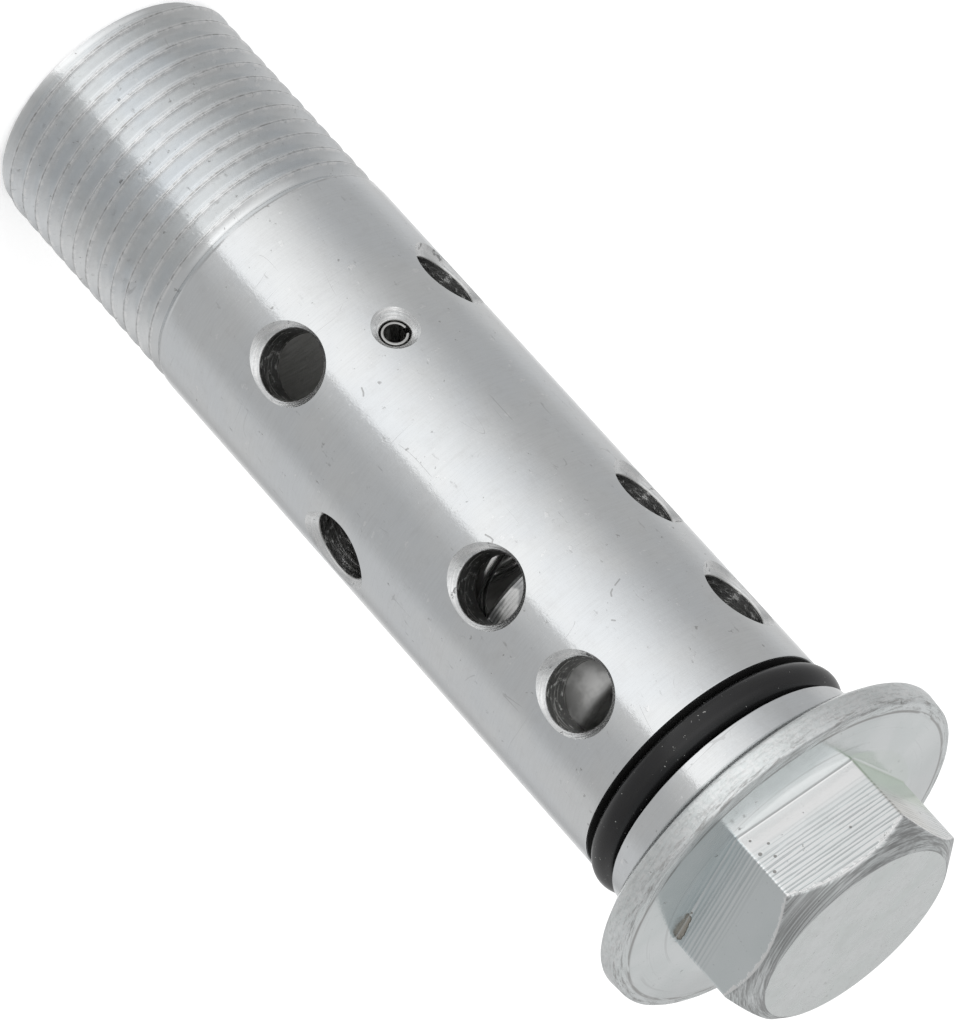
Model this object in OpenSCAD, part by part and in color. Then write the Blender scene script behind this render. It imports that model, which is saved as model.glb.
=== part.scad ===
// Hollow oil filter bolt with a hexagon head, a sealing ring and a spring-loaded bypass valve.
// It stands on its threaded open end: Z is the bolt's axis and the end face is at zero.
// All lengths are in millimetres and all angles in degrees.

/* [Thread] */
// Outside diameter over the thread's crests
thread_d = 19.86; // [19.7:0.02:19.9]
// Length of the threaded end
thread_len = 20.1; // [12:0.1:24]
// Length of the shallow taper where the thread runs out into the shank
thread_runout = 1.5; // [1.2:0.1:2]
// Rise of the thread in one turn
thread_pitch = 1.5; // [1.4:0.1:2]
// Depth of the thread below its crests
thread_depth = 0.92; // [0.6:0.02:0.92]
// Width of the flat land along each crest
thread_crest = 0.2; // [0.15:0.01:0.3]
// Turn of the crest where it leaves the end face
thread_turn = 273.6; // [0:0.1:360]
// Outside diameter of the end face, where the lead-in chamfer starts
thread_end_d = 18.68; // [17:0.02:19.2]

/* [Shank] */
// Diameter of the plain shank
shank_d = 20; // [20:0.05:21]
// Length from the threaded end to the sealing ring's groove
shank_len = 67.4; // [64:0.1:80]

/* [Bore] */
// Diameter of the oil passage
bore_d = 14; // [13.6:0.05:14.6]
// Distance from the end of the full bore up to the sealing ring's groove
bore_stop = 2.9; // [2.4:0.1:3.2]
// Full angle of the cone that the drill left at the bore's blind end
drill_angle = 118; // [110:1:130]
// Chamfer at the mouth of the bore
bore_chamfer = 0.5; // [0.2:0.05:0.8]

/* [Oil ports] */
// Diameter of each oil port
port_d = 5; // [4:0.05:5.4]
// Diameter of the countersink at the mouth of each port
port_rim_d = 6.4; // [5.6:0.05:6.8]
// Distance of the top row of ports below the groove
row_top_drop = 6.1; // [5.6:0.05:6.4]
// Distance of the middle row of ports below the groove
row_middle_drop = 16.1; // [15:0.05:17.5]
// Distance of the crossed pair of ports below the groove
row_cross_drop = 27.9; // [27:0.05:28.5]
// Distance of the lower row of ports below the groove
row_lower_drop = 38.2; // [38:0.05:42]
// Turn of the top row of ports against the rows below it
row_top_turn = 2; // [0:0.5:5]
// Turn of the crossed pair against the middle row
cross_turn = 48; // [40:0.5:50]

/* [Roll pin] */
// Diameter of the hole that holds the roll pin
pin_hole_d = 2.2; // [2:0.05:2.4]
// Diameter of the countersink at each end of that hole
pin_rim_d = 3.6; // [3:0.05:3.8]
// Distance of the roll pin below the groove
pin_drop = 35; // [34.8:0.05:35.2]
// Thickness of the roll pin's rolled strip
pin_wall = 0.3; // [0.25:0.05:0.4]
// Width of the slot along the roll pin
pin_slot = 0.45; // [0.3:0.05:0.7]
// Depth of each end of the roll pin below the shank
pin_recess = 0.7; // [0.4:0.05:1]
// Length of the tapered ends of the roll pin
pin_taper = 0.5; // [0.3:0.05:0.7]
// Diameter that the taper takes off each end of the roll pin
pin_tip_cut = 0.24; // [0.1:0.02:0.4]

/* [Sealing ring] */
// Width of the groove
groove_w = 3.03; // [2.9:0.01:3.2]
// Diameter at the bottom of the groove
groove_d = 15.96; // [15.8:0.02:16.2]
// Thickness of the sealing ring's cord
ring_cord_d = 2.4; // [2.2:0.02:2.6]

/* [Head] */
// Diameter of the collar between the groove and the flange
collar_d = 20.3; // [20.1:0.02:20.6]
// Length of the collar
collar_len = 2.9; // [2.5:0.05:4]
// Diameter of the flange's bearing face
flange_face_d = 25.3; // [24:0.1:26]
// Largest diameter of the flange
flange_d = 28.52; // [28.3:0.02:30]
// Diameter of the flange at the edge of its top face
flange_top_d = 28.26; // [27:0.02:28.28]
// Height of the bevel below the flange's largest diameter
flange_bevel = 1.04; // [0.6:0.02:1.4]
// Height of the flange's outer band
flange_band = 1.75; // [1.2:0.05:2.5]
// Rise of the flange's top face towards the hexagon
flange_rise = 0.45; // [0.2:0.05:0.8]
// Diameter of the raised ring at the foot of the hexagon
hex_foot_d = 20.32; // [20.2:0.02:21]
// Width of the hexagon across its flats
hex_af = 16.9; // [16.6:0.02:17.2]
// Height of the hexagon above its foot
hex_h = 6.98; // [5:0.02:9]
// Diameter of the flat end of the head
head_end_d = 15.48; // [14:0.02:16]
// Slope of the chamfer around the head's flat end
head_chamfer = 39; // [25:1:45]
// Turn of the hexagon's corners from the middle row of ports
hex_turn = 22.8; // [0:0.1:60]

/* [Bypass valve] */
// Length of the valve's sliding body
valve_len = 10.7; // [9.5:0.1:11.2]
// Rounding of the edge around the valve's face
valve_round = 0.8; // [0.3:0.1:1.2]
// Diameter of the stop on the valve's face
valve_stop_d = 5.6; // [4:0.1:7]
// Length of that stop
valve_stop_len = 5.3; // [4.9:0.1:5.6]
// Diameter of the pocket for the spring
pocket_d = 11; // [10.6:0.1:11.6]
// Thickness of the valve's head above the pocket
valve_head = 1.7; // [1.3:0.1:2.4]
// Chamfer at the open end of the valve
valve_chamfer = 0.4; // [0.2:0.05:0.6]

/* [Spring] */
// Thickness of the spring's wire
wire_d = 1.3; // [1:0.05:1.4]
// Open turns of the spring
open_turns = 5; // [4:0.5:6]
// Closed turns at each end of the spring
closed_turns = 1; // [1:0.25:1.5]

/* [Clearances] */
// Gap between the valve and the bore, on each side
slide_gap = 0.05; // [0.02:0.01:0.1]
// Gap between the spring and the valve's pocket, on each side
spring_gap = 0.25; // [0.15:0.05:0.5]
// Gap where one piece seats on another
seat_gap = 0.02; // [0.01:0.01:0.04]

/* [Hidden] */
$fn = 96;

// heights along the bolt
groove_z = shank_len;
collar_z = groove_z + groove_w;
face_z = collar_z + collar_len;
band_z = face_z + flange_bevel;
rim_z = band_z + flange_band;
foot_z = rim_z + flange_rise;
head_z = foot_z + hex_h;
bore_end_z = groove_z - bore_stop;
runout_z = thread_len - thread_runout;
bore_tip_h = bore_d / 2 / tan(drill_angle / 2);
row_top_z = groove_z - row_top_drop;
row_middle_z = groove_z - row_middle_drop;
row_cross_z = groove_z - row_cross_drop;
row_lower_z = groove_z - row_lower_drop;
pin_z = groove_z - pin_drop;

// the middle row of ports faces along X and Y
port_turn = 0;
pair_turn = port_turn + 270 + cross_turn;
pin_turn = pair_turn - 90;

// thread: the cut between the crests has 60 degree flanks, starts below the end face and fades at the run-out
thread_steps = 36;
thread_flank = tan(30);
thread_over = 0.1;
thread_fade = 0.75;
cut_low_z = -1.5 * thread_pitch;

// roll pin
pin_d = pin_hole_d - 2 * seat_gap;
pin_len = shank_d - 2 * pin_recess;
pin_tip_d = pin_d - pin_tip_cut;
slot_turn = 253;

// valve: its stop rests on the cone at the bore's blind end
stop_seat_z = bore_end_z + (bore_d - valve_stop_d) / 2 / tan(drill_angle / 2);
stop_z = stop_seat_z - seat_gap;
valve_face_z = stop_z - valve_stop_len;
valve_end_z = valve_face_z - valve_len;
pocket_z = valve_face_z - valve_head;
valve_d = bore_d - 2 * slide_gap;

// spring: from the roll pin up to the floor of the valve's pocket
spring_d = pocket_d - 2 * spring_gap - wire_d;
spring_low = pin_z + pin_d / 2 + seat_gap;
spring_high = pocket_z - seat_gap;
spring_rings_per_turn = 20;
spring_sides = 10;
closed_pitch = wire_d * 1.04;

function arc_points(cx, cy, r, from, to, steps) =
    [for (i = [0 : steps]) let (a = from + (to - from) * i / steps) [cx + r * cos(a), cy + r * sin(a)]];

// Outside of the bolt, turned in one piece: thread, shank, groove, collar and flange
module turned_outside() {
    thread_chamfer = (thread_d - thread_end_d) / 2;
    rotate_extrude()
        polygon([
            [0, 0],
            [thread_end_d / 2, 0],
            [thread_d / 2, thread_chamfer],
            [thread_d / 2, runout_z],
            [shank_d / 2, thread_len],
            [shank_d / 2, groove_z],
            [groove_d / 2, groove_z],
            [groove_d / 2, collar_z],
            [collar_d / 2, collar_z],
            [collar_d / 2, face_z],
            [flange_face_d / 2, face_z],
            [flange_d / 2, band_z],
            [flange_top_d / 2, rim_z],
            [hex_foot_d / 2, foot_z],
            [0, foot_z]
        ]);
}

// Helical groove between the crests of the right-handed thread
module thread_groove() {
    root_half = (thread_pitch - thread_crest) / 2 - thread_depth * thread_flank;
    top_r = thread_d / 2 + thread_over;
    steps = ceil((runout_z - cut_low_z) / thread_pitch * thread_steps);
    points = [
        for (i = [0 : steps])
            let (
                turn = i / thread_steps,
                left = (steps - i) / thread_steps,
                a = 360 * turn + thread_turn,
                z = cut_low_z + turn * thread_pitch,
                root_r = thread_d / 2 - thread_depth * min(1, left / thread_fade),
                top_half = root_half + (top_r - root_r) * thread_flank
            )
                each [
                    [root_r * cos(a), root_r * sin(a), z - root_half],
                    [top_r * cos(a), top_r * sin(a), z - top_half],
                    [top_r * cos(a), top_r * sin(a), z + top_half],
                    [root_r * cos(a), root_r * sin(a), z + root_half]
                ]
    ];
    sides = [
        for (i = [0 : steps - 1])
            for (j = [0 : 3])
                let (
                    k = (j + 1) % 4,
                    a = i * 4 + j,
                    b = i * 4 + k,
                    c = (i + 1) * 4 + k,
                    d = (i + 1) * 4 + j
                )
                    each [[a, b, c], [a, c, d]]
    ];
    polyhedron(
        points = points,
        faces = concat(sides, [[3, 2, 1, 0], [for (j = [0 : 3]) steps * 4 + j]]),
        convexity = 10
    );
}

module hexagon_head() {
    corner_r = hex_af / 2 / cos(30);
    drop = (corner_r + 1 - head_end_d / 2) * tan(head_chamfer);
    intersection() {
        translate([0, 0, foot_z - flange_rise])
            rotate([0, 0, hex_turn])
                cylinder(r = corner_r, h = hex_h + flange_rise, $fn = 6);
        rotate_extrude()
            polygon([
                [0, foot_z - flange_rise],
                [corner_r + 1, foot_z - flange_rise],
                [corner_r + 1, head_z - drop],
                [head_end_d / 2, head_z],
                [0, head_z]
            ]);
    }
}

// Blind bore from the open end, with the drill's cone at its end and a chamfer at its mouth
module oil_passage() {
    rotate_extrude()
        polygon([
            [0, -1],
            [bore_d / 2 + bore_chamfer + 1, -1],
            [bore_d / 2, bore_chamfer],
            [bore_d / 2, bore_end_z],
            [0, bore_end_z + bore_tip_h]
        ]);
}

// Radial hole with a 90 degree countersink, drilled along X through one wall
module countersunk_hole(hole_d, rim_d) {
    depth = (rim_d - hole_d) / 2;
    rotate([0, 90, 0]) {
        translate([0, 0, bore_d / 4])
            cylinder(d = hole_d, h = shank_d / 2);
        translate([0, 0, shank_d / 2 - depth])
            cylinder(d1 = hole_d, d2 = hole_d + 4 * depth, h = 2 * depth);
    }
}

module port_row(z, turn, count) {
    for (i = [0 : count - 1])
        translate([0, 0, z])
            rotate([0, 0, turn + i * 360 / count])
                countersunk_hole(port_d, port_rim_d);
}

module bolt_body() {
    color([0.76, 0.78, 0.79])
        difference() {
            union() {
                turned_outside();
                hexagon_head();
            }
            thread_groove();
            oil_passage();
            port_row(row_top_z, port_turn + row_top_turn, 4);
            port_row(row_middle_z, port_turn, 4);
            port_row(row_cross_z, pair_turn, 2);
            port_row(row_lower_z, port_turn, 4);
            for (side = [0, 180])
                translate([0, 0, pin_z])
                    rotate([0, 0, pin_turn + side])
                        countersunk_hole(pin_hole_d, pin_rim_d);
        }
}

// Rubber ring that lies in the groove under the collar
module o_ring() {
    color([0.05, 0.05, 0.06])
        translate([0, 0, groove_z + groove_w / 2])
            rotate_extrude()
                translate([groove_d / 2 + seat_gap + ring_cord_d / 2, 0])
                    circle(d = ring_cord_d, $fn = 48);
}

// Slotted spring pin that crosses the bore and carries the spring
module roll_pin() {
    color([0.55, 0.56, 0.57])
        translate([0, 0, pin_z])
            rotate([0, 0, pin_turn])
                rotate([0, 90, 0])
                    difference() {
                        rotate_extrude($fn = 48)
                            polygon([
                                [0, -pin_len / 2],
                                [pin_tip_d / 2, -pin_len / 2],
                                [pin_d / 2, -pin_len / 2 + pin_taper],
                                [pin_d / 2, pin_len / 2 - pin_taper],
                                [pin_tip_d / 2, pin_len / 2],
                                [0, pin_len / 2]
                            ]);
                        cylinder(d = pin_d - 2 * pin_wall, h = pin_len + 1, center = true, $fn = 48);
                        rotate([0, 0, slot_turn])
                            translate([0, -pin_slot / 2, -pin_len / 2 - 1])
                                cube([pin_d, pin_slot, pin_len + 2]);
                    }
}

// Cup-shaped valve that slides in the bore and rests with its stop on the bore's end
module relief_valve() {
    r = valve_d / 2;
    color([0.66, 0.67, 0.68])
        rotate_extrude()
            polygon(concat(
                [
                    [0, pocket_z],
                    [pocket_d / 2, pocket_z],
                    [pocket_d / 2, valve_end_z],
                    [r - valve_chamfer, valve_end_z],
                    [r, valve_end_z + valve_chamfer]
                ],
                arc_points(r - valve_round, valve_face_z - valve_round, valve_round, 0, 90, 6),
                [
                    [valve_stop_d / 2, valve_face_z],
                    [valve_stop_d / 2, stop_z],
                    [0, stop_z]
                ]
            ));
}

// Height of the wire's middle after a number of turns: closed ends, open turns between them
function wire_z(turn) =
    let (
        low = spring_low + wire_d / 2,
        high = spring_high - wire_d / 2,
        all_turns = open_turns + 2 * closed_turns,
        open_pitch = (high - low - 2 * closed_turns * closed_pitch) / open_turns
    )
    turn < closed_turns ? low + turn * closed_pitch
    : turn > all_turns - closed_turns ? high - (all_turns - turn) * closed_pitch
    : low + closed_turns * closed_pitch + (turn - closed_turns) * open_pitch;

// Wire of round section wound right-handed around Z
module relief_spring() {
    all_turns = open_turns + 2 * closed_turns;
    rings = ceil(all_turns * spring_rings_per_turn);
    sides = spring_sides;
    points = [
        for (i = [0 : rings])
            let (turn = all_turns * i / rings, a = 360 * turn)
                for (j = [0 : sides - 1])
                    let (
                        b = 360 * j / sides,
                        r = spring_d / 2 + wire_d / 2 * cos(b),
                        z = wire_z(turn) + wire_d / 2 * sin(b)
                    )
                        [r * cos(a), r * sin(a), z]
    ];
    side_faces = [
        for (i = [0 : rings - 1])
            for (j = [0 : sides - 1])
                let (
                    k = (j + 1) % sides,
                    a = i * sides + j,
                    b = i * sides + k,
                    c = (i + 1) * sides + k,
                    d = (i + 1) * sides + j
                )
                    each [[a, b, c], [a, c, d]]
    ];
    first_cap = [[for (j = [0 : sides - 1]) sides - 1 - j]];
    last_cap = [[for (j = [0 : sides - 1]) rings * sides + j]];
    color([0.45, 0.46, 0.48])
        polyhedron(points = points, faces = concat(side_faces, first_cap, last_cap), convexity = 10);
}

bolt_body();
o_ring();
roll_pin();
relief_valve();
relief_spring();
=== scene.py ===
"""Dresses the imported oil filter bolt: plated steel with its rolled thread, drilled ports and headed hexagon,
the sealing ring under its collar, and the roll pin, valve and spring inside its bore."""

import math

import bmesh
import bpy
import numpy as np
from bpy.props import FloatProperty, FloatVectorProperty, IntProperty, PointerProperty
from mathutils import Matrix, Vector


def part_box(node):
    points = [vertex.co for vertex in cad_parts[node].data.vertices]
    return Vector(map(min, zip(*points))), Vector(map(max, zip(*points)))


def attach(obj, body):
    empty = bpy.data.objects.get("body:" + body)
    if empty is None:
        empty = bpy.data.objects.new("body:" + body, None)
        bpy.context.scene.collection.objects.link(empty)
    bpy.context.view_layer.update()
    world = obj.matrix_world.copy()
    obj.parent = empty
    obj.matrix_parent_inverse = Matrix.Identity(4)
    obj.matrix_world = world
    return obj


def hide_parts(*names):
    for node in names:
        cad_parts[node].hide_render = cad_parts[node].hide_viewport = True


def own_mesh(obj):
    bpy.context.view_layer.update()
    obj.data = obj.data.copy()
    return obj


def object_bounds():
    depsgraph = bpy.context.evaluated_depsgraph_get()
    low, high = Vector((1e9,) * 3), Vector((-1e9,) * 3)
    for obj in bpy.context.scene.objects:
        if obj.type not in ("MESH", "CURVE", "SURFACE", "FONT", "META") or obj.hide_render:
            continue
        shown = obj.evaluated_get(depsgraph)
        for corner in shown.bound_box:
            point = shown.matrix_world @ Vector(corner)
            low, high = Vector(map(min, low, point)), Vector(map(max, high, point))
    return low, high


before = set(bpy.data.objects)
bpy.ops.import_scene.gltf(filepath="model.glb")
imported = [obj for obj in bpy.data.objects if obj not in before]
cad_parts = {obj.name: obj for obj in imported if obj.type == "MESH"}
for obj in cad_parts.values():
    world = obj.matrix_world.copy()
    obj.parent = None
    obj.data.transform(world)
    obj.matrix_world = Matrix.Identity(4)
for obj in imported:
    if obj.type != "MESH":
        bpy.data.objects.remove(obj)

bl_info = {
    "name": "Oil Filter Bolt",
    "version": (1, 0, 0),
    "blender": (4, 5, 0),
    "location": "View3D > Sidebar > Filter Bolt",
    "description": "Makes the visible pieces of a hollow oil filter bolt around its packed solids",
    "category": "Object",
}

MM = 0.001
TURN = 2 * math.pi
WELD = 0.0008 * MM
cad_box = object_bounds()
ring_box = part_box("o_ring")
spring_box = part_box("relief_spring")
valve_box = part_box("relief_valve")
head_end = cad_box[1][2]


def length(name, description, millimetres):
    """A length that a user may change, given here in millimetres."""
    return FloatProperty(name=name, description=description, default=millimetres * MM, unit="LENGTH", precision=5)


def angle(name, description, degrees):
    """An angle that a user may change, given here in degrees."""
    return FloatProperty(name=name, description=description, default=math.radians(degrees), subtype="ANGLE")


def colour(name, description, value):
    """A colour that a user may change, as linear red, green and blue."""
    return FloatVectorProperty(name=name, description=description, default=value, subtype="COLOR", size=3)


class ThreadSizes(bpy.types.PropertyGroup):
    """Sizes of the rolled thread."""

    pitch: length("Pitch", "Rise of the thread in one turn", 1.5)
    crest_d: length("Crest diameter", "Outside diameter over the crests", 19.86)
    depth: length("Depth", "Depth of the thread below its crests", 0.92)
    crest_half: length("Half crest", "Half the width of a crest", 0.16)
    root: length("Root", "Softness of the rounded root", 0.2)
    fold: length("Fold", "Depth of the fold that rolling leaves along the crest", 0.025)
    run: length("Length", "Length of the threaded end", 20.1)
    runout: length("Run-out", "Length over which the thread runs out into the shank", 1.5)
    end_d: length("End diameter", "Diameter of the end face, where the lead-in chamfer starts", 18.68)
    start: angle("Start", "Turn of the thread's crest at the end face", -86.4)


class BodySizes(bpy.types.PropertyGroup):
    """Sizes of the turned and headed body."""

    shank_d: length("Shank diameter", "Diameter of the plain shank", 20)
    shank_end: length("Shank end", "Height of the lower edge of the sealing ring's groove", 67.4)
    bore_d: length("Bore", "Diameter of the oil passage", 14)
    bore_end: length("Bore end", "Height where the full bore ends", 64.5)
    bore_chamfer: length("Bore chamfer", "Chamfer at the mouth of the bore", 0.5)
    drill_angle: angle("Drill angle", "Full angle of the cone at the bore's blind end", 118)
    groove_d: length("Groove diameter", "Diameter at the bottom of the groove", 15.96)
    groove_end: length("Groove end", "Height of the collar's lower edge", 70.43)
    collar_d: length("Collar diameter", "Diameter of the collar", 20.3)
    face: length("Face", "Height of the flange's bearing face", 73.33)
    face_d: length("Face diameter", "Diameter of the flange's bearing face", 25.3)
    band: length("Band", "Height of the flange's largest diameter", 74.37)
    flange_d: length("Flange diameter", "Largest diameter of the flange", 28.52)
    rim: length("Rim", "Height of the flange's upper rim", 76.12)
    rim_d: length("Rim diameter", "Diameter of the flange at its upper rim", 28.26)
    foot: length("Foot", "Height of the hexagon's foot", 76.57)
    foot_d: length("Foot diameter", "Diameter of the raised ring at the hexagon's foot", 20.32)
    hex_af: length("Across flats", "Width of the hexagon across its flats", 16.9)
    hex_turn: angle("Hexagon turn", "Turn of the hexagon's corners", 22.8)
    corner: length("Corner radius", "Rounding of the hexagon's corners", 0.3)
    head_d: length("Head end diameter", "Diameter of the head's flat end", 15.48)
    chamfer: angle("Chamfer", "Slope of the chamfer around the flat end", 39)


class PortSizes(bpy.types.PropertyGroup):
    """Sizes and places of the drilled holes."""

    port_d: length("Port", "Diameter of each oil port", 5)
    port_rim_d: length("Port rim", "Diameter of each port's countersink", 6.4)
    top: length("Top row", "Height of the top row of ports", 61.3)
    middle: length("Middle row", "Height of the middle row of ports", 51.3)
    cross: length("Crossed pair", "Height of the crossed pair of ports", 39.5)
    lower: length("Lower row", "Height of the lower row of ports", 29.2)
    top_turn: angle("Top turn", "Turn of the top row against the rows below it", 2)
    cross_turn: angle("Crossed pair turn", "Turn of the crossed pair of ports", 318)
    pin_d: length("Pin hole", "Diameter of the hole that holds the roll pin", 2.2)
    pin_rim_d: length("Pin hole rim", "Diameter of the countersink at each end of the pin's hole", 3.6)
    pin: length("Pin height", "Height of the roll pin", 32.4)
    pin_turn: angle("Pin turn", "Turn of the roll pin", 228)


class SmallSizes(bpy.types.PropertyGroup):
    """Sizes of the ring, the pin, the valve and the spring."""

    cord_d: length("Ring cord", "Thickness of the sealing ring's cord", (ring_box[1][2] - ring_box[0][2]) / MM)
    ring_d: length("Ring diameter", "Outside diameter of the sealing ring", (ring_box[1][0] - ring_box[0][0]) / MM)
    pin_length: length("Pin length", "Length of the roll pin", 18.6)
    pin_d: length("Pin diameter", "Outside diameter of the roll pin", 2.16)
    pin_wall: length("Pin wall", "Thickness of the roll pin's rolled strip", 0.3)
    pin_slot: length("Pin slot", "Width of the slot along the roll pin", 0.45)
    pin_taper: length("Pin taper", "Length of the roll pin's tapered ends", 0.5)
    pin_tip_cut: length("Pin tip cut", "Diameter that the taper takes off", 0.24)
    slot_turn: angle("Slot turn", "Turn of the roll pin's slot about its own axis", 253)
    valve_d: length("Valve diameter", "Outside diameter of the valve", 13.9)
    valve_length: length("Valve length", "Length of the valve's sliding body", 10.7)
    valve_round: length("Valve rounding", "Rounding of the edge around the valve's face", 0.8)
    stop_d: length("Stop diameter", "Diameter of the stop on the valve's face", 5.6)
    pocket_d: length("Pocket diameter", "Diameter of the pocket for the spring", 11)
    pocket_drop: length("Valve head", "Thickness of the valve's head above the pocket", 1.7)
    valve_chamfer: length("Valve chamfer", "Chamfer at the open end of the valve", 0.4)
    wire_d: length("Wire", "Thickness of the spring's wire", 1.3)
    coil_d: length("Coil diameter", "Mean diameter of the spring's coils", 9.2)
    open_turns: IntProperty(name="Open turns", description="Open turns of the spring", default=5)
    closed_turns: IntProperty(name="Closed turns", description="Closed turns at each end", default=1)


class Colours(bpy.types.PropertyGroup):
    """Colours of the finishes."""

    plating: colour("Plating", "Zinc plating over turned steel", (0.86, 0.875, 0.88))
    headed: colour("Headed steel", "Plating on the flange and the hexagon", (0.9, 0.93, 0.935))
    end: colour("End face", "Plating on the head's flat end", (0.9, 0.925, 0.925))
    bore: colour("Bore", "Oily steel inside the bore and the ports", (0.6, 0.6, 0.59))
    rubber: colour("Rubber", "Black rubber of the sealing ring", (0.016, 0.016, 0.017))
    pin: colour("Pin", "Rolled strip of the pin", (0.6, 0.6, 0.59))
    valve: colour("Valve", "Turned steel of the valve", (0.66, 0.66, 0.65))
    spring: colour("Spring", "Oiled wire of the spring", (0.8, 0.8, 0.79))


class StageSizes(bpy.types.PropertyGroup):
    """Camera, floor and lamp."""

    lens: FloatProperty(name="Lens", description="Focal length, in millimetres", default=244.05)
    distance: length("Distance", "From the camera to the aim", 463.749)
    azimuth: angle("Azimuth", "Direction of the camera around the bolt", 253)
    elevation: angle("Elevation", "Height of the camera as an angle", 24.185)
    roll: angle("Roll", "Turn of the picture about the line of sight", 138.134)
    aim: length("Aim", "Height on the bolt's axis that the camera is set against", 67.4)
    side: length("Side", "Shift of the bolt across the picture", 14.994)
    rise: length("Rise", "Shift of the bolt up the picture", -16.853)
    floor_radius: length("Floor radius", "Radius of the pale floor", 2500)
    lamp_energy: FloatProperty(name="Lamp", description="Power of the soft lamp, in watts", default=1.2, unit="POWER")


class FilterBolt(bpy.types.PropertyGroup):
    """All settings of the bolt."""

    thread: PointerProperty(type=ThreadSizes)
    body: PointerProperty(type=BodySizes)
    ports: PointerProperty(type=PortSizes)
    small: PointerProperty(type=SmallSizes)
    colours: PointerProperty(type=Colours)
    stage: PointerProperty(type=StageSizes)


class Wire:
    """A socket of a node tree. Sums, products and the like on it add Math nodes."""

    def __init__(self, tree, socket=None):
        self.tree = tree
        self.socket = socket

    def node(self, kind, feeds=None, output=0, **settings):
        """Adds a node, with its settings first and then the values or wires of its sockets; gives one output."""
        made = self.tree.nodes.new(kind)
        for name, value in settings.items():
            setattr(made, name, value)
        for name, value in (feeds or {}).items():
            if isinstance(value, Wire):
                self.tree.links.new(value.socket, made.inputs[name])
            else:
                made.inputs[name].default_value = value
        return Wire(self.tree, made.outputs[output])

    def outputs(self, *names):
        """Wires from the outputs of this wire's node: those named, or all of them."""
        held = self.socket.node.outputs
        return [Wire(self.tree, held[name]) for name in names or range(len(held))]

    def end(self, kind):
        """Ends the tree in an output node, fed by this wire."""
        self.tree.links.new(self.socket, self.tree.nodes.new(kind).inputs[0])

    def math(self, operation, other=0.0, swapped=False):
        """One Math node on this wire and another wire or number."""
        values = {0: other, 1: self} if swapped else {0: self, 1: other}
        return self.node("ShaderNodeMath", values, operation=operation)

    def __add__(self, other):
        return self.math("ADD", other)

    def __sub__(self, other):
        return self.math("SUBTRACT", other)

    def __mul__(self, other):
        return self.math("MULTIPLY", other)

    def __truediv__(self, other):
        return self.math("DIVIDE", other)

    def __rsub__(self, other):
        return self.math("SUBTRACT", other, swapped=True)

    def __abs__(self):
        return self.math("ABSOLUTE")

    __radd__ = __add__
    __rmul__ = __mul__

    def least(self, other):
        return self.math("MINIMUM", other)

    def most(self, other):
        return self.math("MAXIMUM", other)

    def hypot(self, other):
        return (self * self + other * other).math("SQRT")

    def ramp(self, low, high):
        """Rises smoothly from 0 at low to 1 at high, or falls where low is above high."""
        if low > high:
            return 1 - self.ramp(high, low)
        feeds = {0: self, 1: float(low), 2: float(high)}
        return self.node("ShaderNodeMapRange", feeds, interpolation_type="SMOOTHSTEP")

    def blend(self, first, second):
        """A colour between two, with this wire as the share of the second."""
        return self.node("ShaderNodeMix", {0: self, 6: tone(first), 7: tone(second)}, 2, data_type="RGBA")

    def xyz(self, x, y, z):
        """A vector of three values or wires."""
        return self.node("ShaderNodeCombineXYZ", {0: x, 1: y, 2: z})

    def split(self):
        """The three parts of this vector."""
        return self.node("ShaderNodeSeparateXYZ", {0: self}).outputs()

    def vector(self, operation, feeds):
        """One Vector Math node on this wire and what feeds its other sockets."""
        return self.node("ShaderNodeVectorMath", {0: self, **feeds}, operation=operation)

    def noise(self, scale=1.0, detail=2.0, rough=0.5):
        """Noise at this vector, about 0.5 on average."""
        return self.node("ShaderNodeTexNoise", {"Vector": self, "Scale": scale, "Detail": detail, "Roughness": rough})

    def specks(self, rate, low, high):
        """Irregular specks of mixed size, where fine noise at this vector peaks."""
        return self.noise(rate, 4.0, 0.62).ramp(low, high)

    def scratches(self, width, seed):
        """Hairlines: thin bands where broad noise crosses its middle, kept in a few stretches only."""
        moved = self.vector("ADD", {1: (seed, 0, 0)})
        line = abs(moved.noise(1.0, 0.0, 0.4) - 0.5).ramp(width, width * 0.3)
        return line * moved.noise(1.7, 1.0).ramp(0.6, 0.66)


def tone(value):
    """What a colour socket takes, from a wire, a colour or the level of a grey."""
    return value if isinstance(value, Wire) else (*np.broadcast_to(value, 3), 1)


def layered(base, *coats):
    """A colour under coats, each given as its share and its colour or grey."""
    for share, value in coats:
        base = share.blend(base, value)
    return base


HOLE_PLACE = "hole_place"


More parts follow.
